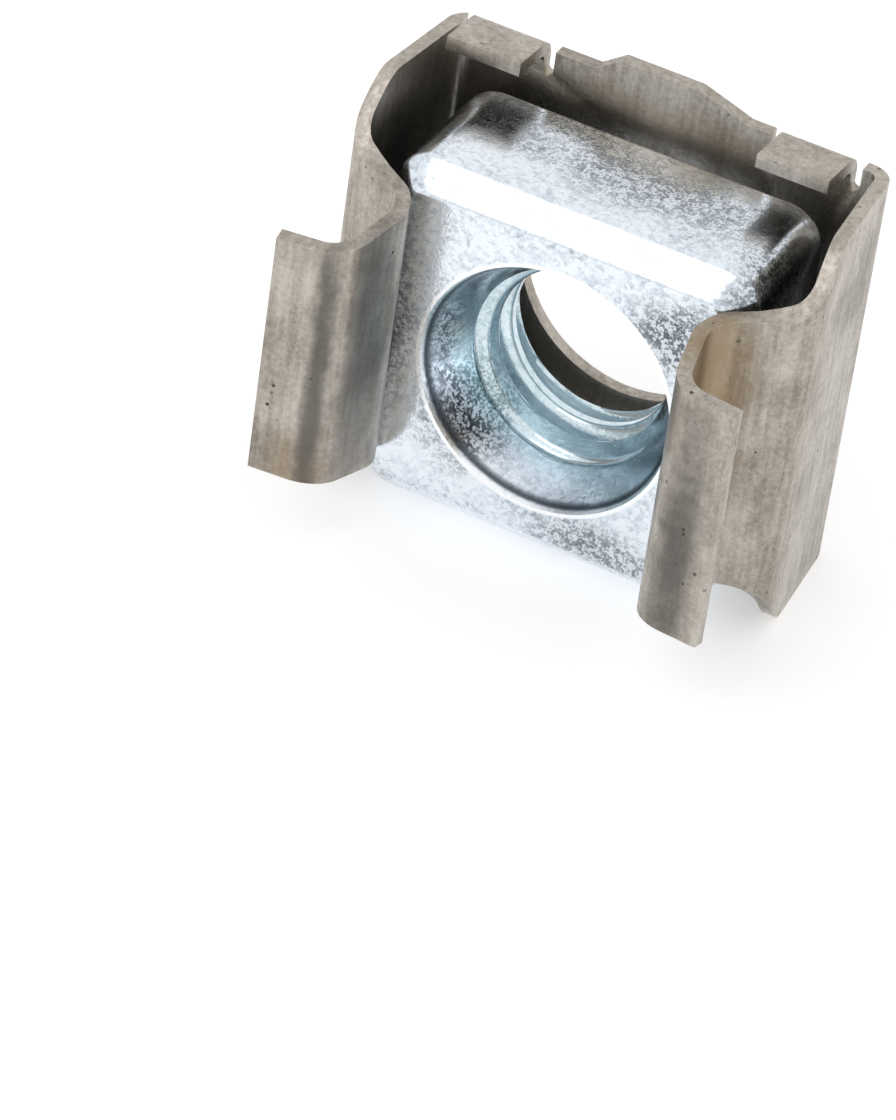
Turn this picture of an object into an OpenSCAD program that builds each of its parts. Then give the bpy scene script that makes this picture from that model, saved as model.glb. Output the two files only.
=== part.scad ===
// Cage nut for a rack rail with square holes: a spring steel cage, folded
// from one sheet, that loosely traps a square nut.
// Millimetres, +Z up. The thread runs along Y, the legs point to -Y, and the
// origin is the middle of the nut's bore.

/* [Sheet] */
// Thickness of the spring steel sheet
sheet_t = 0.4; // [0.3:0.05:0.5]

/* [Cage box] */
// Height of the back plate and the side walls
cage_h = 12.2; // [11.8:0.1:13]
// Width over the bends beside the back plate
back_w = 13.1; // [12.8:0.1:14]
// Middle radius of the bends beside the back plate
back_bend_r = 0.5; // [0.35:0.05:0.8]
// Distance from the back face to the front end of the side walls
side_d = 4.65; // [4.3:0.05:5]
// Distance from the back face to where the cage starts to lose height
taper_d = 3.6; // [3.2:0.1:4.2]
// Angle by which each side wall leans outward on its way forward
side_lean = 5; // [0:1:8]
// Diameter of the screw's clearance hole in the back plate
back_hole_d = 7.1; // [6.5:0.1:7.5]

/* [Legs] */
// Middle radius of the bends between the side walls and the shoulders
shoulder_bend_r = 0.75; // [0.5:0.05:1]
// Angle of the shoulders, inward from straight ahead
shoulder_angle = 65; // [55:1:75]
// Width over the neck, which sits in the rail's square hole
neck_w = 9.3; // [8.8:0.1:9.4]
// Middle radius of the neck bends
neck_bend_r = 1.15; // [0.8:0.05:1.3]
// Angle by which the arms spread outward in front of the neck
arm_flare = 12; // [6:1:16]
// Straight length of the arms
arm_len = 1.2; // [0.8:0.1:2.5]
// Middle radius of the bends between the arms and the lips
lip_bend_r = 1; // [0.6:0.05:1.3]
// Angle of the lips, outward from straight ahead
lip_angle = 84; // [70:1:90]
// Width over the tips of the lips
lip_span = 13.4; // [12.4:0.1:14.4]
// Height of the legs at the neck
leg_h = 8.4; // [7.6:0.1:9]
// Height of the lips at their tips
lip_h = 7.4; // [6.6:0.1:8.4]

/* [Tabs] */
// Distance from the middle to the inner side of the left tabs
left_tab_in = 3.7; // [3.5:0.1:3.9]
// Width of the left tabs
left_tab_w = 2.2; // [1.8:0.1:2.3]
// Distance from the middle to the inner side of the right tabs
right_tab_in = 3.3; // [3:0.1:3.6]
// Width of the right tabs
right_tab_w = 2.1; // [1.7:0.1:2.3]
// Distance that the tabs reach forward from the back face
tab_d = 2; // [1.8:0.1:2.4]
// Middle radius of the bends at the root of the tabs
tab_bend_r = 0.45; // [0.35:0.05:0.6]
// Height of the upper tabs above the edge of the back plate
upper_tab_rise = 0.25; // [0.1:0.05:0.4]
// Angle by which the upper tabs stand above square
upper_tab_lift = 4; // [0:1:12]
// Radius of the relief notch at each side of a tab's root
notch_r = 0.15; // [0.1:0.05:0.2]

/* [Crest of the back plate] */
// Height of the crest above the back plate
crest_h = 0.5; // [0.3:0.1:0.8]
// Distance from the middle to the left end of the crest's flat top
crest_left = 1.5; // [1.2:0.1:1.7]
// Distance from the middle to the right end of the crest's flat top
crest_right = 0.8; // [0.6:0.1:1.2]
// Length of the crest's short left slope
crest_rise = 0.7; // [0.5:0.1:0.9]
// Length of the crest's long right slope
crest_fall = 1.5; // [1:0.1:1.7]

/* [Nut] */
// Width and height of the square nut
nut_s = 10.7; // [10.2:0.1:10.8]
// Thickness of the nut
nut_t = 4.9; // [4.4:0.1:5]
// Radius of the nut's four corners
nut_corner_r = 1.1; // [0.9:0.1:1.5]
// Size of the broad chamfer round the front face
front_chamfer = 0.75; // [0.5:0.05:0.8]
// Size of the small chamfer round the rear face
rear_chamfer = 0.3; // [0.2:0.05:0.5]
// Diameter of the bore that the thread is cut in
bore_d = 5; // [4.6:0.1:5.2]
// Diameter of the cone at the front mouth of the bore
front_cone_d = 7.4; // [7:0.1:8]
// Depth of the cone at the front mouth of the bore
front_cone_h = 2.3; // [1.8:0.1:2.4]
// Diameter of the cone at the rear mouth of the bore
rear_cone_d = 6.9; // [6.2:0.1:7.2]
// Depth of the cone at the rear mouth of the bore
rear_cone_h = 1.2; // [0.9:0.1:1.4]
// Play between the front of the nut and the necks of the cage
nut_play = 0.05; // [0.02:0.01:0.2]

/* [Hidden] */

$fn = 64;
// Flats that a bend is drawn with
bend_steps = 12;
// Overlap that makes cuts run clear of a face
cut = 1;
half_t = sheet_t / 2;

// Unit step along a heading
function heading(a) = [cos(a), sin(a)];
// Side that a bend turns to: 1 for left, -1 for right
function side_of(turn) = turn > 0 ? 1 : -1;
// Way along the middle of a bend of radius r that starts with heading a
function bend_way(a, r, turn) =
    side_of(turn) * r * [sin(a + turn) - sin(a), cos(a) - cos(a + turn)];
// Places along the middle of a bend, each with its heading
function bend(p, a, r, turn) = [
    for (i = [0:bend_steps])
        let (part = turn * i / bend_steps) [p + bend_way(a, r, part), a + part]
];
// One face of the sheet along a fold, d to the left of its middle
function face(fold, d) = [
    for (place = fold) place[0] + d * [-sin(place[1]), cos(place[1])]
];
function reversed(points) = [for (i = [len(points) - 1:-1:0]) points[i]];
function mirrored(points) = [for (p = points) [-p.x, p.y]];

// Headings of the flats of the right half, seen from above
back_a = 0;
side_a = side_lean - 90;
shoulder_a = -90 - shoulder_angle;
arm_a = arm_flare - 90;
lip_a = lip_angle - 90;

// Where each flat starts and ends, along the middle of the sheet. The back face of
// the cage is at y = 0.
back_len = back_w / 2 - back_bend_r - half_t;
back_end_p = [back_len, -half_t];
side_p = back_end_p + bend_way(back_a, back_bend_r, side_a - back_a);
side_len = (side_d + side_p.y) / cos(side_lean);
side_end_p = side_p + side_len * heading(side_a);
shoulder_p = side_end_p
    + bend_way(side_a, shoulder_bend_r, shoulder_a - side_a);
// The shoulders are as long as the neck needs to reach its width
neck_centre_x = neck_w / 2 + neck_bend_r - half_t;
shoulder_len = (neck_centre_x - shoulder_p.x + neck_bend_r * sin(shoulder_a))
    / cos(shoulder_a);
neck_p = shoulder_p + shoulder_len * heading(shoulder_a);
arm_p = neck_p + bend_way(shoulder_a, neck_bend_r, arm_a - shoulder_a);
curl_p = arm_p + arm_len * heading(arm_a);
lip_p = curl_p + bend_way(arm_a, lip_bend_r, lip_a - arm_a);
lip_len = (lip_span / 2 - lip_p.x) / cos(lip_a);
lip_end_p = lip_p + lip_len * heading(lip_a);

// Height at which the lower tabs start to bend, so that they end flush with the
// edge of the back plate
tab_root_z = cage_h / 2 - tab_bend_r - half_t;

// The nut stands on the lower tabs
nut_z = nut_s / 2 + sheet_t - cage_h / 2;
// The nut leans forward on the bulges of the two necks. Its chamfer is at 45
// degrees, so it touches there, or with its front edge where that comes first.
nut_flat = nut_s / 2 - front_chamfer;
neck_centre = neck_p + neck_bend_r * [-sin(shoulder_a), cos(shoulder_a)];
bulge_r = neck_bend_r + half_t;
edge_a = asin(min(1, (neck_centre.x - nut_flat) / bulge_r));
touch_a = max(90 - shoulder_angle, min(45, edge_a));
touch_p = neck_centre + bulge_r * [-sin(touch_a), cos(touch_a)];
nut_front_y = touch_p.y - (touch_p.x - nut_flat) * tan(touch_a) + nut_play;
nut_mid_y = nut_front_y + nut_t / 2;

// The folded sheet from above: the right half and its mirror image
module fold_section() {
    fold = concat(
        bend(back_end_p, back_a, back_bend_r, side_a - back_a),
        bend(side_end_p, side_a, shoulder_bend_r, shoulder_a - side_a),
        bend(neck_p, shoulder_a, neck_bend_r, arm_a - shoulder_a),
        bend(curl_p, arm_a, lip_bend_r, lip_a - arm_a),
        [[lip_end_p, lip_a]]
    );
    outer = face(fold, half_t);
    inner = face(fold, -half_t);
    polygon(concat(
        outer, reversed(inner), mirrored(inner), reversed(mirrored(outer))
    ));
}

// Outline of the cage from the side: full height at the walls, then a smooth
// fall to the necks, and least height at the tips of the lips
module side_outline() {
    end_y = lip_end_p.y - cut;
    end_h = leg_h + (lip_h - leg_h) * (neck_p.y - end_y)
        / (neck_p.y - lip_end_p.y);
    fall = [
        for (i = [0:bend_steps])
            let (t = i / bend_steps, sunk = (1 - cos(180 * t)) / 2) [
                -taper_d + t * (neck_p.y + taper_d),
                cage_h / 2 + sunk * (leg_h - cage_h) / 2
            ]
    ];
    upper = concat([[cut, cage_h / 2]], fall, [[end_y, end_h / 2]]);
    rotate([90, 0, 90])
        linear_extrude(2 * (back_w + lip_span), center = true)
            polygon(concat(upper, reversed([for (p = upper) [p.x, -p.y]])));
}

module folded_sheet() {
    intersection() {
        linear_extrude(cage_h, center = true) fold_section();
        side_outline();
    }
}

// Opening in the back plate for one tab, with a round relief notch beside it
module tab_window(tab_in, tab_w) {
    depth = half_t + back_bend_r;
    for (x = [tab_in - notch_r, tab_in + tab_w + notch_r])
        translate([x, cut, tab_root_z]) rotate([90, 0, 0])
            cylinder(h = depth + cut, r = notch_r, $fn = 24);
    translate([tab_in - 2 * notch_r, -depth, tab_root_z])
        cube([tab_w + 4 * notch_r, depth + cut, cage_h]);
}

// One tab: the root joins the back plate and runs up by rise, the bend turns
// it over the nut
module tab(tab_in, tab_w, rise, lift) {
    turn = 90 - lift;
    root_p = [-half_t, tab_root_z + rise];
    flat_p = root_p + bend_way(90, tab_bend_r, turn);
    flat_len = (tab_d + flat_p.x) / cos(lift);
    fold = concat(
        [[[root_p.x, tab_root_z - sheet_t], 90]],
        bend(root_p, 90, tab_bend_r, turn),
        [[flat_p + flat_len * heading(90 + turn), 90 + turn]]
    );
    translate([tab_in, 0, 0]) rotate([90, 0, 90]) linear_extrude(tab_w)
        polygon(concat(face(fold, half_t), reversed(face(fold, -half_t))));
}

// Raised part of the back plate's upper edge
module crest() {
    foot_z = cage_h / 2 - sheet_t;
    top_z = cage_h / 2 + crest_h;
    rotate([90, 0, 0]) linear_extrude(sheet_t)
        polygon([
            [-crest_left - crest_rise, foot_z],
            [crest_right + crest_fall, foot_z],
            [crest_right + crest_fall, cage_h / 2],
            [crest_right, top_z],
            [-crest_left, top_z],
            [-crest_left - crest_rise, cage_h / 2]
        ]);
}

// One spring steel sheet: back plate, side walls, shoulders, necks, arms,
// lips and four tabs
module cage() {
    color([0.62, 0.58, 0.52]) translate([0, -nut_mid_y, -nut_z]) {
        difference() {
            folded_sheet();
            for (side = [0, 1]) mirror([0, 0, side]) {
                tab_window(right_tab_in, right_tab_w);
                mirror([1, 0, 0]) tab_window(left_tab_in, left_tab_w);
            }
            rotate([90, 0, 0])
                cylinder(h = 4 * cut, d = back_hole_d, center = true);
        }
        crest();
        tab(right_tab_in, right_tab_w, upper_tab_rise, upper_tab_lift);
        mirror([1, 0, 0])
            tab(left_tab_in, left_tab_w, upper_tab_rise, upper_tab_lift);
        mirror([0, 0, 1]) {
            tab(right_tab_in, right_tab_w, 0, 0);
            mirror([1, 0, 0]) tab(left_tab_in, left_tab_w, 0, 0);
        }
    }
}

// One rounded corner of the nut, with the chamfers of both faces
module nut_corner() {
    inset = nut_s / 2 - nut_corner_r;
    straight = nut_t - front_chamfer - rear_chamfer;
    translate([inset, -nut_t / 2, inset]) rotate([-90, 0, 0]) {
        cylinder(h = front_chamfer, r1 = nut_corner_r - front_chamfer,
            r2 = nut_corner_r, $fn = 32);
        translate([0, 0, front_chamfer])
            cylinder(h = straight, r = nut_corner_r, $fn = 32);
        translate([0, 0, nut_t - rear_chamfer])
            cylinder(h = rear_chamfer, r1 = nut_corner_r,
                r2 = nut_corner_r - rear_chamfer, $fn = 32);
    }
}

// Square nut with a bore for the thread and a cone at each mouth
module nut() {
    color([0.78, 0.82, 0.85]) difference() {
        hull()
            for (quarter = [0:3]) rotate([0, 90 * quarter, 0]) nut_corner();
        rotate([90, 0, 0])
            cylinder(h = nut_t + cut, d = bore_d, center = true);
        mouth_cone(-nut_t / 2, front_cone_d, front_cone_h, 1);
        mouth_cone(nut_t / 2, rear_cone_d, rear_cone_h, -1);
    }
}

// Cone cut into the face at y, going inward along Y in the sense given
module mouth_cone(y, d, h, inward) {
    slope = (d - bore_d) / (2 * h);
    translate([0, y, 0]) rotate([-90 * inward, 0, 0])
        translate([0, 0, -cut])
            cylinder(h = h + cut, r1 = d / 2 + slope * cut, r2 = bore_d / 2);
}

cage();
nut();
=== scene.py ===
# %% [markdown]
# # Cage nut for a rack rail
#
# This lesson dresses two solids: a cage folded from one sheet of spring steel, and the square
# nut that it traps. The solids come first, as a fixed frame. Blender adds what a solid model
# leaves out: the thread, the rounded sheared edges and the finish of both metals.

# %% Load the frame
import math
import bmesh
import bpy
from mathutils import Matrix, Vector


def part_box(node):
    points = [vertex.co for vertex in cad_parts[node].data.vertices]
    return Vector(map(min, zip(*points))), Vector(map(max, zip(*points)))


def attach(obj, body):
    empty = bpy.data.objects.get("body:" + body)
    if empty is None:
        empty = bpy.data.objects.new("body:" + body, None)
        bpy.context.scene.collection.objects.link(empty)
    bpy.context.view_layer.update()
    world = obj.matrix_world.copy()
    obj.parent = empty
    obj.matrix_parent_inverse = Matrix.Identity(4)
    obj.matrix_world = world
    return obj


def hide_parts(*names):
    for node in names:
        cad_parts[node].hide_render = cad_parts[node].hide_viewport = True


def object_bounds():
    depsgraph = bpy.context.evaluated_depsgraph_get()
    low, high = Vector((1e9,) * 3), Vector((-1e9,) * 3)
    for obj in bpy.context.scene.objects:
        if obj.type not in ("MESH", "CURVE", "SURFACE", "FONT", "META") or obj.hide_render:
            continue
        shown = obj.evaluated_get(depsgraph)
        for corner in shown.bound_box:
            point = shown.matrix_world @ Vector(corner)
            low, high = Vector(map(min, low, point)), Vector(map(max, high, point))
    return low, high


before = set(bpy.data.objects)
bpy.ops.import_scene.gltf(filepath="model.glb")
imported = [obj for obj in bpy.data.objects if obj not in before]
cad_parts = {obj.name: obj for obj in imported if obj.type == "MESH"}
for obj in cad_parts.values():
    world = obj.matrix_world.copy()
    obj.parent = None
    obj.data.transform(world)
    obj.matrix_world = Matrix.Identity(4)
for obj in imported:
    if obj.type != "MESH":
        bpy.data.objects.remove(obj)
cad_low, cad_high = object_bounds()
cage_low, cage_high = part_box("cage")
nut_low, nut_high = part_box("nut")
MM = 0.001
print("cage, mm:", [round(v / MM, 2) for v in cage_high - cage_low])
print("nut, mm:", [round(v / MM, 2) for v in nut_high - nut_low])

# %% [markdown]
# ## The camera
#
# The part is seen from in front, a little from the right and from well above, so that the
# legs, the bore and the open top all show. A long lens far away keeps the folds nearly
# parallel. The camera's axes are worked out from three angles: round the part, above it, and
# a small roll.

# %% Aim the camera
scene = bpy.context.scene
scene.view_settings.view_transform = "Standard"
TURN = math.radians(22.548)
RAISE = math.radians(36.082)
ROLL = math.radians(8.470)
DISTANCE = 186.669 * MM
SHIFT_RIGHT = -5.330 * MM
SHIFT_UP = -7.616 * MM
FOCAL = 221.68
CAGE_MIDDLE_Z = 0.35 * MM


def view_axes():
    """The camera's right, up and forward directions."""
    across = Vector((math.cos(TURN), math.sin(TURN), 0))
    forward = Vector((
        -math.sin(TURN) * math.cos(RAISE),
        math.cos(TURN) * math.cos(RAISE),
        -math.sin(RAISE),
    ))
    upright = across.cross(forward)
    right = math.cos(ROLL) * across + math.sin(ROLL) * upright
    up = math.cos(ROLL) * upright - math.sin(ROLL) * across
    return right, up, forward


def add_camera():
    right, up, forward = view_axes()
    back_middle = Vector((0, cage_high.y, CAGE_MIDDLE_Z))
    data = bpy.data.cameras.new("camera")
    data.lens = FOCAL
    data.clip_start = 0.01
    camera = bpy.data.objects.new("camera", data)
    scene.collection.objects.link(camera)
    place = back_middle + SHIFT_RIGHT * right + SHIFT_UP * up - DISTANCE * forward
    axes = (right, up, -forward)
    for row in range(3):
        for column in range(3):
            camera.matrix_world[row][column] = axes[column][row]
        camera.matrix_world[row][3] = place[row]
    scene.camera = camera
    print("camera stands at, mm:", [round(v / MM, 1) for v in place])
    return camera


camera = add_camera()

# %% [markdown]
# ## Node helpers
#
# Every finish is a tree of nodes. Two short helpers keep the trees readable: one adds a node
# and sets its plain values, the other joins two sockets.

# %% Add and join nodes
def add_node(tree, kind, **values):
    """Adds a node; a value named like a socket goes there, and any other on the node itself."""
    node = tree.nodes.new(kind)
    for name, value in values.items():
        if hasattr(node, name):
            setattr(node, name, value)
        else:
            node.inputs[name.replace("_", " ")].default_value = value
    return node


def join(tree, start, end):
    tree.links.new(start, end)


def new_material(name):
    material = bpy.data.materials.new(name)
    material.use_nodes = True
    material.node_tree.nodes.clear()
    return material, material.node_tree


# %% [markdown]
# ## Floor and light
#
# The part stands on a plain pale floor in a plain studio. The world gives an even light, and
# one soft lamp in front and above makes the bright band along the nut's chamfer. What the
# camera, the metal and glass see of the world is white. The light itself could be that strong
# too, but then the floor would lose the part's shadow. So the Light Path node tells the rays
# that see from the rays that light.

# %% Tell seeing rays from lighting rays
def seeing_ray(tree):
    """1 for camera, glossy and transmission rays, 0 for the others."""
    path = add_node(tree, "ShaderNodeLightPath")
    first = add_node(tree, "ShaderNodeMath", operation="MAXIMUM")
    both = add_node(tree, "ShaderNodeMath", operation="MAXIMUM")
    join(tree, path.outputs["Is Camera Ray"], first.inputs[0])
    join(tree, path.outputs["Is Glossy Ray"], first.inputs[1])
    join(tree, first.outputs[0], both.inputs[0])
    join(tree, path.outputs["Is Transmission Ray"], both.inputs[1])
    return both.outputs[0]


# %% Lay the floor
FLOOR_GREY = 0.88
FLOOR_GLOW = 0.42
FLOOR_REACH = 1.5


def floor_material():
    material, tree = new_material("studio_floor")
    out = add_node(tree, "ShaderNodeOutputMaterial")
    matt = add_node(tree, "ShaderNodeBsdfPrincipled", Roughness=0.9)
    matt.inputs["Base Color"].default_value = (FLOOR_GREY, FLOOR_GREY, FLOOR_GREY, 1)
    matt.inputs["Specular IOR Level"].default_value = 0.0
    glow = add_node(tree, "ShaderNodeEmission", Strength=FLOOR_GLOW)
    both = add_node(tree, "ShaderNodeAddShader")
    pick = add_node(tree, "ShaderNodeMixShader")
    join(tree, matt.outputs[0], both.inputs[0])
    join(tree, glow.outputs[0], both.inputs[1])
    join(tree, seeing_ray(tree), pick.inputs["Fac"])
    join(tree, matt.outputs[0], pick.inputs[1])
    join(tree, both.outputs[0], pick.inputs[2])
    join(tree, pick.outputs[0], out.inputs["Surface"])
    return material


def lay_floor():
    mesh = bpy.data.meshes.new("floor")
    z = cad_low.z
    corners = [
        (x * FLOOR_REACH, y * FLOOR_REACH, z)
        for x, y in ((-1, -1), (1, -1), (1, 1), (-1, 1))
    ]
    mesh.from_pydata(corners, [], [(0, 1, 2, 3)])
    floor = bpy.data.objects.new("floor", mesh)
    scene.collection.objects.link(floor)
    mesh.materials.append(floor_material())
    print("floor at z, mm:", round(z / MM, 3))


lay_floor()


# %% Light the world
WORLD_SEEN = 1.0
WORLD_LIGHT = 0.75


def light_world():
    world = bpy.data.worlds.new("studio")
    scene.world = world
    world.use_nodes = True
    tree = world.node_tree
    tree.nodes.clear()
    out = add_node(tree, "ShaderNodeOutputWorld")
    white = add_node(tree, "ShaderNodeBackground", Strength=WORLD_SEEN)
    even = add_node(tree, "ShaderNodeBackground", Strength=WORLD_LIGHT)
    pick = add_node(tree, "ShaderNodeMixShader")
    white.inputs["Color"].default_value = (1, 1, 1, 1)
    even.inputs["Color"].default_value = (1, 1, 1, 1)
    join(tree, seeing_ray(tree), pick.inputs["Fac"])
    join(tree, even.outputs[0], pick.inputs[1])
    join(tree, white.outputs[0], pick.inputs[2])
    join(tree, pick.outputs[0], out.inputs["Surface"])
    print("world: seen at", WORLD_SEEN, "and lights at", WORLD_LIGHT)


def add_lamp(name, toward, distance, size, power):
    """A square soft lamp that faces the part."""
    data = bpy.data.lights.new(name, "AREA")
    data.size = size
    data.energy = power
    lamp = bpy.data.objects.new(name, data)
    scene.collection.objects.link(lamp)
    direction = Vector(toward).normalized()
    lamp.location = direction * distance
    lamp.rotation_euler = direction.to_track_quat("Z", "Y").to_euler()
    print(name, "at, mm:", [round(v / MM) for v in lamp.location])


light_world()
add_lamp(
    "front_lamp", toward=(-0.30, -0.60, 0.75), distance=0.30, size=0.16, power=0.09,
)

# %% [markdown]
# ## Building blocks for the finishes
#
# Both metals are plated, and plating is never one flat colour. Their finishes are layered from
# the same few blocks: noise at a chosen grain size, soft patches at a chosen place, and ramps
# that turn a number into a colour. All of them read object coordinates, turned into
# millimetres, so a size in a tree is a size on the part.

# %% Coordinates, noise and ramps
def maths(tree, operation, first, second=None, third=None, clamp=False):
    """A Math node; each operand is a socket or a number."""
    node = tree.nodes.new("ShaderNodeMath")
    node.operation = operation
    node.use_clamp = clamp
    for index, value in enumerate((first, second, third)):
        if value is None:
            continue
        if isinstance(value, (int, float)):
            node.inputs[index].default_value = value
        else:
            tree.links.new(value, node.inputs[index])
    return node.outputs[0]


def coordinates(tree, stretch=(1, 1, 1)):
    """Object coordinates in millimetres; a small stretch draws a pattern out."""
    place = add_node(tree, "ShaderNodeTexCoord")
    scaled = add_node(tree, "ShaderNodeMapping")
    scaled.inputs["Scale"].default_value = [value / MM for value in stretch]
    join(tree, place.outputs["Object"], scaled.inputs["Vector"])
    return scaled.outputs["Vector"]


def noise(tree, where, grain_mm, detail=3.0, roughness=0.6):
    node = add_node(tree, "ShaderNodeTexNoise", Detail=detail, Roughness=roughness)
    node.inputs["Scale"].default_value = 1 / grain_mm
    join(tree, where, node.inputs["Vector"])
    return node.outputs["Fac"]


def level(tree, value, start, end, low=0.0, high=1.0):
    """Low up to start, high from end on, smooth between them."""
    node = add_node(tree, "ShaderNodeMapRange", interpolation_type="SMOOTHSTEP")
    join(tree, value, node.inputs["Value"])
    node.inputs["From Min"].default_value = start
    node.inputs["From Max"].default_value = end
    node.inputs["To Min"].default_value = low
    node.inputs["To Max"].default_value = high
    return node.outputs["Result"]


def ramp(tree, value, stops):
    node = add_node(tree, "ShaderNodeValToRGB")
    band = node.color_ramp
    while len(band.elements) < len(stops):
        band.elements.new(1.0)
    for element, (place, colour) in zip(band.elements, stops):
        element.position = place
        element.color = (*colour, 1)
    join(tree, value, node.inputs["Fac"])
    return node.outputs["Color"]


# %% Tints and patches
# How ragged a patch is, and the distances at which it starts and is full
PATCH_RAG = 1.1
PATCH_OUTSIDE = 1.95
PATCH_INSIDE = 0.85


def tint(tree, share, base, colour):
    """Base, and colour where share is 1."""
    node = add_node(tree, "ShaderNodeMix", data_type="RGBA")
    join(tree, share, node.inputs["Factor"])
    join(tree, base, node.inputs[6])
    if isinstance(colour, tuple):
        node.inputs[7].default_value = (*colour, 1)
    else:
        join(tree, colour, node.inputs[7])
    return node.outputs[2]


def patch(tree, where, wobble, centre, reach, strength):
    """A soft patch round a place in millimetres, as wide as reach says along each axis."""
    moved = add_node(tree, "ShaderNodeVectorMath", operation="SUBTRACT")
    join(tree, where, moved.inputs[0])
    moved.inputs[1].default_value = centre
    sized = add_node(tree, "ShaderNodeVectorMath", operation="DIVIDE")
    join(tree, moved.outputs[0], sized.inputs[0])
    sized.inputs[1].default_value = reach
    far = add_node(tree, "ShaderNodeVectorMath", operation="LENGTH")
    join(tree, sized.outputs[0], far.inputs[0])
    ragged = maths(tree, "MULTIPLY_ADD", wobble, PATCH_RAG, far.outputs["Value"])
    return level(tree, ragged, PATCH_OUTSIDE, PATCH_INSIDE, 0.0, strength)


def patches(tree, where, wobble, rows):
    """All patches of a table as one mask, the strongest of them at each point."""
    top = patch(tree, where, wobble, *rows[0])
    for row in rows[1:]:
        top = maths(tree, "MAXIMUM", top, patch(tree, where, wobble, *row))
    return top


# %% Put a metal finish together
def finish_metal(tree, colour, roughness, height, depth_mm, metallic=1.0):
    """A plated metal whose height map is as deep as depth_mm says."""
    out = add_node(tree, "ShaderNodeOutputMaterial")
    metal = add_node(tree, "ShaderNodeBsdfPrincipled", Metallic=metallic)
    relief = add_node(tree, "ShaderNodeBump", Strength=1.0)
    relief.inputs["Distance"].default_value = depth_mm * MM
    join(tree, height, relief.inputs["Height"])
    join(tree, relief.outputs["Normal"], metal.inputs["Normal"])
    join(tree, colour, metal.inputs["Base Color"])
    join(tree, roughness, metal.inputs["Roughness"])
    join(tree, metal.outputs[0], out.inputs["Surface"])
    print("nodes in the finish:", len(tree.nodes))


# %% [markdown]
# ## The nut
#
# The real nut is a slice of square bar, chamfered all round its front face, bored, tapped and
# widened to a cone at both mouths. Its outside is easiest as rings: the outline of a square
# with round corners, drawn again at each step of a side profile. The rings share their spokes
# with the bore, so that outside and bore meet point to point and make one closed skin.

# %% Sizes of the nut
THREAD_MAJOR = 6.0 * MM
THREAD_PITCH = 1.0 * MM
BORE = 5.0 * MM
FRONT_CONE = (7.4 * MM, 2.3 * MM)
REAR_CONE = (6.9 * MM, 1.2 * MM)
CORNER = 1.1 * MM
FRONT_CHAMFER = 0.75 * MM
REAR_CHAMFER = 0.3 * MM
# Radius along the outside edges, and the flats kept beside them on both faces
EDGE_ROUND = 0.11 * MM
EDGE_STEPS = 4
LEAST_CORNER = 0.12 * MM
FRONT_FLAT = 0.25 * MM
REAR_FLAT = 0.3 * MM
SPOKES = 240
nut_half = (nut_high.x - nut_low.x) / 2
nut_thick = nut_high.y - nut_low.y
print("nut is", round(2 * nut_half / MM, 2), "by", round(nut_thick / MM, 2), "mm thick")


# %% Outline and side profile
def square_reach(angle, half, corner):
    """Distance from the middle to the edge of a rounded square, in that direction."""
    c = abs(math.cos(angle))
    s = abs(math.sin(angle))
    reach = half / max(c, s)
    inner = half - corner
    if min(c, s) * reach <= inner:
        return reach
    along = inner * (c + s)
    return along + math.sqrt(along * along - 2 * inner * inner + corner * corner)


def round_corners(points, radius, steps):
    """A path of (inset, y) points with each inner corner rounded."""
    path = [points[0]]
    for before, corner, after in zip(points, points[1:], points[2:]):
        corner = Vector(corner)
        start = corner + (Vector(before) - corner).normalized() * radius
        end = corner + (Vector(after) - corner).normalized() * radius
        for step in range(steps + 1):
            t = step / steps
            path.append(
                (1 - t) ** 2 * start + 2 * t * (1 - t) * corner + t * t * end
            )
    path.append(points[-1])
    return [Vector(p) for p in path]


def side_profile():
    front = -nut_thick / 2
    rear = nut_thick / 2
    points = [
        (FRONT_CHAMFER + FRONT_FLAT, front),
        (FRONT_CHAMFER, front),
        (0, front + FRONT_CHAMFER),
        (0, rear - REAR_CHAMFER),
        (REAR_CHAMFER, rear),
        (REAR_CHAMFER + REAR_FLAT, rear),
    ]
    return round_corners(points, EDGE_ROUND, EDGE_STEPS)


print("steps of the side profile:", len(side_profile()))

# %% [markdown]
# ## The thread
#
# A thread follows a rule, so Geometry Nodes make the bore. A flat grid is rolled into a tube:
# one way round is the angle, the other is the depth. The depth also climbs by one pitch for
# each turn, so the rows of the grid run along the thread. The radius swings between the crest
# and the root, and wherever a cone is wider, the cone wins. Rows that would stick out of the
# nut are held at its faces. A turn is a whole number of rows, so that the two ends of the
# rolled grid meet point to point.

# %% A named size of the tree
def tree_input(tree, name, kind="NodeSocketFloat"):
    return tree.interface.new_socket(name, in_out="INPUT", socket_type=kind).identifier


# %% Build the bore's tree
# Distances from the middle of the crest, in pitches, where the flank starts and ends
FLANK_START = 0.10
FLANK_END = 0.46


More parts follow.
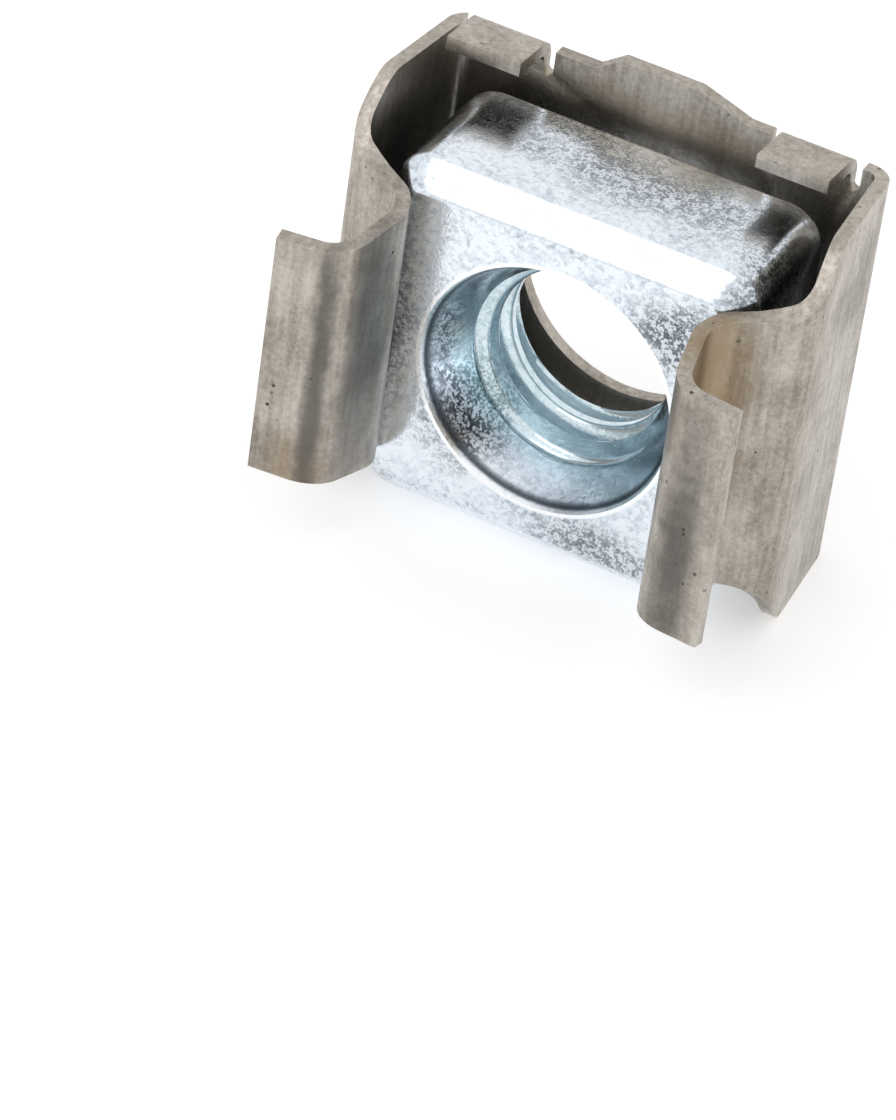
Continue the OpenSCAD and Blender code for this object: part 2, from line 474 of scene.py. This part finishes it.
def bore_tree():
    tree = bpy.data.node_groups.new("threaded_bore", "GeometryNodeTree")
    tree.interface.new_socket("Geometry", in_out="OUTPUT", socket_type="NodeSocketGeometry")
    names = ("Thickness", "Span", "Pitch", "Major radius", "Bore radius", "Front radius",
             "Front depth", "Rear radius", "Rear depth")
    sockets = {name: tree_input(tree, name) for name in names}
    sockets["Spokes"] = tree_input(tree, "Spokes", "NodeSocketInt")
    sockets["Rows"] = tree_input(tree, "Rows", "NodeSocketInt")
    sockets["Material"] = tree_input(tree, "Material", "NodeSocketMaterial")
    given = tree.nodes.new("NodeGroupInput").outputs
    grid = add_node(tree, "GeometryNodeMeshGrid", Size_X=1.0, Size_Y=1.0)
    join(tree, given["Spokes"], grid.inputs["Vertices X"])
    join(tree, given["Rows"], grid.inputs["Vertices Y"])
    place = tree.nodes.new("GeometryNodeInputPosition")
    split = tree.nodes.new("ShaderNodeSeparateXYZ")
    join(tree, place.outputs[0], split.inputs[0])
    around = maths(tree, "ADD", split.outputs["X"], 0.5)
    along = maths(tree, "ADD", split.outputs["Y"], 0.5)
    angle = maths(tree, "MULTIPLY", around, 2 * math.pi)
    depth = maths(tree, "MULTIPLY", along, given["Span"])
    rising = maths(tree, "MULTIPLY_ADD", around, given["Pitch"], depth)
    start = maths(tree, "MULTIPLY_ADD", given["Thickness"], 0.5, given["Pitch"])
    y_free = maths(tree, "SUBTRACT", rising, start)
    front = maths(tree, "MULTIPLY", given["Thickness"], -0.5)
    rear = maths(tree, "MULTIPLY", given["Thickness"], 0.5)
    y = maths(tree, "MINIMUM", maths(tree, "MAXIMUM", y_free, front), rear)
    turns = maths(tree, "DIVIDE", depth, given["Pitch"])
    off = maths(tree, "SUBTRACT", maths(tree, "FRACT", turns), 0.5)
    off = maths(tree, "ABSOLUTE", off)
    rise = add_node(tree, "ShaderNodeMapRange", interpolation_type="SMOOTHSTEP")
    join(tree, off, rise.inputs["Value"])
    rise.inputs["From Min"].default_value = FLANK_START
    rise.inputs["From Max"].default_value = FLANK_END
    join(tree, given["Bore radius"], rise.inputs["To Min"])
    join(tree, given["Major radius"], rise.inputs["To Max"])
    radius = rise.outputs[0]
    for side, face, sign in (("Front", front, 1), ("Rear", rear, -1)):
        into = maths(tree, "MULTIPLY", maths(tree, "SUBTRACT", y, face), sign)
        share = maths(tree, "DIVIDE", into, given[side + " depth"], clamp=True)
        narrowing = maths(tree, "SUBTRACT", given["Bore radius"], given[side + " radius"])
        cone = maths(tree, "MULTIPLY_ADD", share, narrowing, given[side + " radius"])
        radius = maths(tree, "MAXIMUM", radius, cone)
    x = maths(tree, "MULTIPLY", radius, maths(tree, "SINE", angle))
    z = maths(tree, "MULTIPLY", radius, maths(tree, "COSINE", angle))
    point = tree.nodes.new("ShaderNodeCombineXYZ")
    for value, socket in ((x, "X"), (y, "Y"), (z, "Z")):
        join(tree, value, point.inputs[socket])
    shape = tree.nodes.new("GeometryNodeSetPosition")
    join(tree, grid.outputs["Mesh"], shape.inputs["Geometry"])
    join(tree, point.outputs[0], shape.inputs["Position"])
    real = tree.nodes.new("GeometryNodeRealizeInstances")
    join(tree, shape.outputs[0], real.inputs[0])
    paint = tree.nodes.new("GeometryNodeSetMaterial")
    join(tree, real.outputs[0], paint.inputs["Geometry"])
    join(tree, given["Material"], paint.inputs["Material"])
    out = tree.nodes.new("NodeGroupOutput")
    join(tree, paint.outputs[0], out.inputs[0])
    print("nodes in the bore's tree:", len(tree.nodes))
    return tree, sockets


# %% Bake the bore to a plain mesh
ROWS_A_TURN = 24


def bake_bore(material):
    tree, sockets = bore_tree()
    holder = bpy.data.objects.new("bore_rule", bpy.data.meshes.new("bore_rule"))
    scene.collection.objects.link(holder)
    rule = holder.modifiers.new("bore", "NODES")
    rule.node_group = tree
    steps = math.ceil((nut_thick / THREAD_PITCH + 1) * ROWS_A_TURN)
    values = {
        "Thickness": nut_thick,
        "Span": steps * THREAD_PITCH / ROWS_A_TURN,
        "Pitch": THREAD_PITCH,
        "Major radius": THREAD_MAJOR / 2,
        "Bore radius": BORE / 2,
        "Front radius": FRONT_CONE[0] / 2,
        "Front depth": FRONT_CONE[1],
        "Rear radius": REAR_CONE[0] / 2,
        "Rear depth": REAR_CONE[1],
        "Spokes": SPOKES + 1,
        "Rows": steps + 1,
        "Material": material,
    }
    for name, value in values.items():
        rule[sockets[name]] = value
    bpy.context.view_layer.update()
    graph = bpy.context.evaluated_depsgraph_get()
    mesh = bpy.data.meshes.new_from_object(holder.evaluated_get(graph), depsgraph=graph)
    holder.modifiers.remove(rule)
    bpy.data.objects.remove(holder)
    print("bore:", steps + 1, "rows,", len(mesh.polygons), "faces")
    return mesh


# %% Join outside and bore
MERGE_WITHIN = 0.002 * MM
SMOOTH_BELOW = math.radians(38)


def ring_of_points(build, inset, y):
    corner = max(CORNER - inset, LEAST_CORNER)
    ring = []
    for spoke in range(SPOKES):
        angle = 2 * math.pi * spoke / SPOKES
        reach = square_reach(angle, nut_half - inset, corner)
        ring.append(build.verts.new((
            reach * math.sin(angle), y, reach * math.cos(angle),
        )))
    return ring


def circle_of_points(build, radius, y):
    ring = []
    for spoke in range(SPOKES):
        angle = 2 * math.pi * spoke / SPOKES
        ring.append(build.verts.new((radius * math.sin(angle), y, radius * math.cos(angle))))
    return ring


def make_nut(material):
    build = bmesh.new()
    build.from_mesh(bake_bore(material))
    front = -nut_thick / 2
    rear = nut_thick / 2
    rings = [circle_of_points(build, FRONT_CONE[0] / 2, front)]
    rings += [ring_of_points(build, p.x, p.y) for p in side_profile()]
    rings.append(circle_of_points(build, REAR_CONE[0] / 2, rear))
    for near, far in zip(rings, rings[1:]):
        for spoke in range(SPOKES):
            after = (spoke + 1) % SPOKES
            build.faces.new((near[spoke], near[after], far[after], far[spoke]))
    bmesh.ops.remove_doubles(build, verts=build.verts, dist=MERGE_WITHIN)
    bmesh.ops.dissolve_degenerate(build, edges=build.edges, dist=0.001 * MM)
    bmesh.ops.recalc_face_normals(build, faces=build.faces)
    open_edges = sum(1 for edge in build.edges if not edge.is_manifold)
    mesh = bpy.data.meshes.new("dressed_nut")
    build.to_mesh(mesh)
    build.free()
    mesh.materials.clear()
    mesh.materials.append(material)
    nut = bpy.data.objects.new("dressed_nut", mesh)
    scene.collection.objects.link(nut)
    mesh.shade_smooth()
    mesh.set_sharp_from_angle(angle=SMOOTH_BELOW)
    print("nut:", len(mesh.polygons), "faces,", open_edges, "open edges")
    return nut


# %% [markdown]
# ## Zinc
#
# Bright zinc is a thin bluish mirror. It grows in small crystals, so it glitters. Dark dull
# patches are painted on it as dark reflections and shade. Inside the bore the passivation film is
# thicker and looks slightly teal. On the rim of the cone a bright ring is a painted highlight,
# with painted shade as a dark line inside it.

# %% Painted dark reflections and shade on the zinc
FACE_Y = nut_low.y / MM
TOP_Z = nut_high.z / MM
# Dark dull patches, painted dark reflections and shade: on the front face, in the front cone, on
# the top-right corner and on the top
# Middle, reach along each axis, strength
ZINC_PAINTED_DARK = (
    ((3.7, FACE_Y, 3.1), (1.9, 1.0, 1.2), 0.85),
    ((-4.6, FACE_Y, 0.4), (0.9, 0.7, 2.6), 0.55),
    ((2.2, FACE_Y, -4.3), (2.2, 0.8, 0.9), 0.65),
    ((-2.3, -1.5, -2.1), (1.4, 1.5, 1.6), 1.0),
    ((-3.2, -1.9, 0.4), (0.5, 0.8, 1.3), 0.8),
    ((5.0, -0.6, 4.6), (0.9, 1.9, 1.1), 0.85),
    ((-1.8, 1.7, TOP_Z), (1.9, 0.7, 0.5), 0.7),
    ((0.8, 0.5, TOP_Z), (4.0, 1.4, 0.5), 0.6),
)
print("stains on the zinc:", len(ZINC_PAINTED_DARK))


# %% Tint the bore and paint light and shade on the rim
def tint_bore_paint_rim_light(tree, where, colour):
    """Teal inside the bore, painted shade as a dark line inside the rim of the cone and a painted
    highlight as a bright ring on it.
    """
    split = add_node(tree, "ShaderNodeSeparateXYZ")
    join(tree, where, split.inputs[0])
    square = maths(tree, "MULTIPLY", split.outputs["X"], split.outputs["X"])
    square = maths(tree, "MULTIPLY_ADD", split.outputs["Z"], split.outputs["Z"], square)
    radius = maths(tree, "SQRT", square)
    in_bore = level(tree, radius, 3.35, 2.95, 0.0, 0.35)
    colour = tint(tree, in_bore, colour, (0.42, 0.66, 0.70))
    at_front = level(tree, split.outputs["Y"], FACE_Y + 0.45, FACE_Y + 0.2)
    # Painted shade as a dark line, then a painted highlight as a bright ring, on the rim of the
    # front cone
    rings = (
        ((3.48, 3.54), (3.66, 3.61), (0.10, 0.12, 0.14)),
        ((3.63, 3.68), (3.84, 3.79), (0.96, 0.98, 1.0)),
    )
    for inside, outside, shade in rings:
        ring = maths(tree, "MULTIPLY", level(tree, radius, *inside), level(tree, radius, *outside))
        colour = tint(tree, maths(tree, "MULTIPLY", ring, at_front), colour, shade)
    return colour


# %% Zinc finish
def zinc_material():
    material, tree = new_material("bright_zinc")
    where = coordinates(tree)
    cloud = noise(tree, where, 1.7, 4.0)
    frost = noise(tree, where, 0.08, 2.0)
    wobble = noise(tree, where, 0.8, 5.0, 0.7)
    crystals = add_node(tree, "ShaderNodeTexVoronoi", Scale=1 / 0.14)
    join(tree, where, crystals.inputs["Vector"])
    split = add_node(tree, "ShaderNodeSeparateColor")
    join(tree, crystals.outputs["Color"], split.inputs[0])
    facet = split.outputs[0]
    glitter = maths(tree, "MULTIPLY_ADD", facet, 0.22, maths(tree, "MULTIPLY", frost, 0.4))
    tone = maths(tree, "MULTIPLY_ADD", cloud, 0.55, glitter)
    bright = ramp(tree, tone, [
        (0.36, (0.44, 0.49, 0.54)),
        (0.50, (0.66, 0.72, 0.79)),
        (0.66, (0.84, 0.89, 0.95)),
    ])
    rough_facet = maths(tree, "ADD", frost, maths(tree, "MULTIPLY", facet, 0.2))
    # Dark dull zinc for the painted dark reflections and shade
    painted_dark_zinc = ramp(tree, level(tree, rough_facet, 0.48, 0.70), [
        (0.0, (0.045, 0.050, 0.060)),
        (0.5, (0.16, 0.18, 0.20)),
        (1.0, (0.60, 0.65, 0.70)),
    ])
    # Painted dark reflections and shade laid over the bright zinc
    colour = tint(tree, patches(tree, where, wobble, ZINC_PAINTED_DARK), bright, painted_dark_zinc)
    colour = tint_bore_paint_rim_light(tree, where, colour)
    roughness = level(tree, tone, 0.35, 0.7, 0.30, 0.14)
    height = maths(tree, "MULTIPLY_ADD", facet, 0.5, frost)
    finish_metal(tree, colour, roughness, height, 0.0035)
    return material


nut = make_nut(zinc_material())
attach(nut, "root")
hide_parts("nut")

# %% [markdown]
# ## The cage
#
# The cage was blanked from a strip, so its cut edges are not crisp: the punch rolls one edge
# over and tumbling in the plating drum rounds the other. A copy of the solid gets its loose
# triangles merged, its flat faces joined up, and a small bevel on every sharp edge. The bevel is
# clamped, so that rounds never overlap. Where the edges beside it are short, as on this mesh,
# the clamp leaves it far narrower than the width asked for.
#
# The rolled faces are satin grey, with a cloudy tone, fine streaks along the folds, a few dark
# pits and brown marks where the press rubbed. Dark grey patches in the bends of the lips, high on
# the back of the side walls and on the back plate behind the nut are painted shade.

# %% Marks of the press, and painted shade, on the spring steel
# Middle, reach along each axis, strength
STEEL_BROWN = (
    ((4.9, -3.4, 2.6), (1.2, 1.6, 3.4), 0.9),
    ((-5.4, -5.6, -3.2), (0.9, 0.8, 1.6), 0.5),
    ((0.5, 3.2, 5.6), (5.5, 0.6, 0.7), 0.4),
)
# Dark grey patches: painted shade in the bends of the lips, high on the back of the side walls and
# on the back plate behind the nut
STEEL_PAINTED_SHADE = (
    ((-5.15, -5.6, -0.5), (0.32, 0.9, 6.0), 0.85),
    ((-4.5, -4.3, 0.0), (0.35, 1.1, 6.0), 0.60),
    ((5.7, -5.7, -0.8), (0.75, 0.7, 4.2), 0.85),
    ((-5.9, 1.0, 3.5), (1.0, 2.2, 2.6), 0.75),
    ((5.6, 1.4, 3.8), (1.2, 2.2, 2.0), 0.85),
    ((0.0, 3.0, 2.5), (6.0, 0.6, 2.6), 0.80),
)
print("brown and grey marks:", len(STEEL_BROWN), "and", len(STEEL_PAINTED_SHADE))


# %% Spring steel finish
def steel_material():
    material, tree = new_material("spring_steel")
    where = coordinates(tree)
    drawn = coordinates(tree, (1, 1, 0.10))
    cloud = noise(tree, where, 1.9, 4.0)
    grain = noise(tree, where, 0.13, 3.0, 0.7)
    streak = noise(tree, drawn, 0.20, 3.0)
    wobble = noise(tree, where, 0.9, 4.0)
    tone = maths(tree, "MULTIPLY_ADD", cloud, 0.40, maths(tree, "MULTIPLY", grain, 0.30))
    tone = maths(tree, "MULTIPLY_ADD", streak, 0.30, tone)
    colour = ramp(tree, tone, [
        (0.36, (0.235, 0.210, 0.180)),
        (0.50, (0.400, 0.365, 0.320)),
        (0.64, (0.560, 0.520, 0.465)),
    ])
    brown = patches(tree, where, wobble, STEEL_BROWN)
    colour = tint(tree, brown, colour, (0.30, 0.22, 0.135))
    # Painted shade: dark grey in the bends, on the back of the side walls and behind the nut
    painted_shade = patches(tree, where, wobble, STEEL_PAINTED_SHADE)
    colour = tint(tree, painted_shade, colour, (0.105, 0.098, 0.090))
    spots = add_node(tree, "ShaderNodeTexVoronoi", Scale=1 / 0.55)
    join(tree, where, spots.inputs["Vector"])
    every_pit = level(tree, spots.outputs["Distance"], 0.13, 0.07)
    pit = maths(tree, "MULTIPLY", every_pit, level(tree, wobble, 0.50, 0.60))
    colour = tint(tree, pit, colour, (0.07, 0.06, 0.05))
    roughness = level(tree, tone, 0.35, 0.65, 0.46, 0.32)
    height = maths(tree, "SUBTRACT", maths(tree, "ADD", grain, streak), pit)
    finish_metal(tree, colour, roughness, height, 0.010)
    return material


# %% [markdown]
# ## The sheared edge
#
# Where the punch sheared the strip, the corner of the cut is rougher than the rolled faces. Its
# pale colour is a painted highlight, the bright band along the rounded cut. The bevel takes a
# material of its own, so the rounds along the cut get this finish without picking a single face by
# hand.

# %% Sheared edge finish, with a painted highlight
def edge_highlight_material():
    material, tree = new_material("cut_edge_painted_highlight")
    where = coordinates(tree)
    grain = noise(tree, where, 0.09, 3.0)
    cloud = noise(tree, where, 0.9, 3.0)
    tone = maths(tree, "MULTIPLY_ADD", cloud, 0.6, maths(tree, "MULTIPLY", grain, 0.4))
    # Pale colour: a painted highlight along the rounded cut edge
    colour = ramp(tree, tone, [
        (0.34, (0.62, 0.55, 0.47)),
        (0.45, (0.86, 0.80, 0.73)),
        (0.56, (0.97, 0.94, 0.89)),
    ])
    roughness = level(tree, tone, 0.35, 0.65, 0.55, 0.42)
    finish_metal(tree, colour, roughness, grain, 0.008, metallic=0.55)
    return material


# %% Round the sheared edges
ROUND_WIDTH = 0.09 * MM
ROUND_STEPS = 3
ROUND_FROM = math.radians(35)
FLAT_WITHIN = math.radians(1)


def make_cage(rolled, pale_edge_highlight):
    build = bmesh.new()
    build.from_mesh(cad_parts["cage"].data)
    bmesh.ops.remove_doubles(build, verts=build.verts, dist=0.001 * MM)
    bmesh.ops.dissolve_limit(
        build, angle_limit=FLAT_WITHIN, verts=build.verts, edges=build.edges,
    )
    bmesh.ops.recalc_face_normals(build, faces=build.faces)
    mesh = bpy.data.meshes.new("dressed_cage")
    build.to_mesh(mesh)
    build.free()
    mesh.materials.clear()
    mesh.materials.append(rolled)
    mesh.materials.append(pale_edge_highlight)
    cage = bpy.data.objects.new("dressed_cage", mesh)
    scene.collection.objects.link(cage)
    bevel = cage.modifiers.new("rolled_edges", "BEVEL")
    bevel.width = ROUND_WIDTH
    bevel.segments = ROUND_STEPS
    bevel.limit_method = "ANGLE"
    bevel.angle_limit = ROUND_FROM
    bevel.use_clamp_overlap = True
    bevel.material = 1
    bpy.context.view_layer.update()
    graph = bpy.context.evaluated_depsgraph_get()
    done = bpy.data.meshes.new_from_object(cage.evaluated_get(graph), depsgraph=graph)
    cage.modifiers.clear()
    cage.data = done
    done.shade_smooth()
    done.set_sharp_from_angle(angle=SMOOTH_BELOW)
    print("cage:", len(done.polygons), "faces")
    return cage


cage = make_cage(steel_material(), edge_highlight_material())
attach(cage, "root")
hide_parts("cage")

# %% [markdown]
# ## Sizes
#
# The dressed part must be as big as the solids, since the thread and the rounds only change
# what lies inside them. The solids' box is printed.

# %% Print the solids' size
print("solid, mm:", [round(v / MM, 3) for v in cad_high - cad_low])
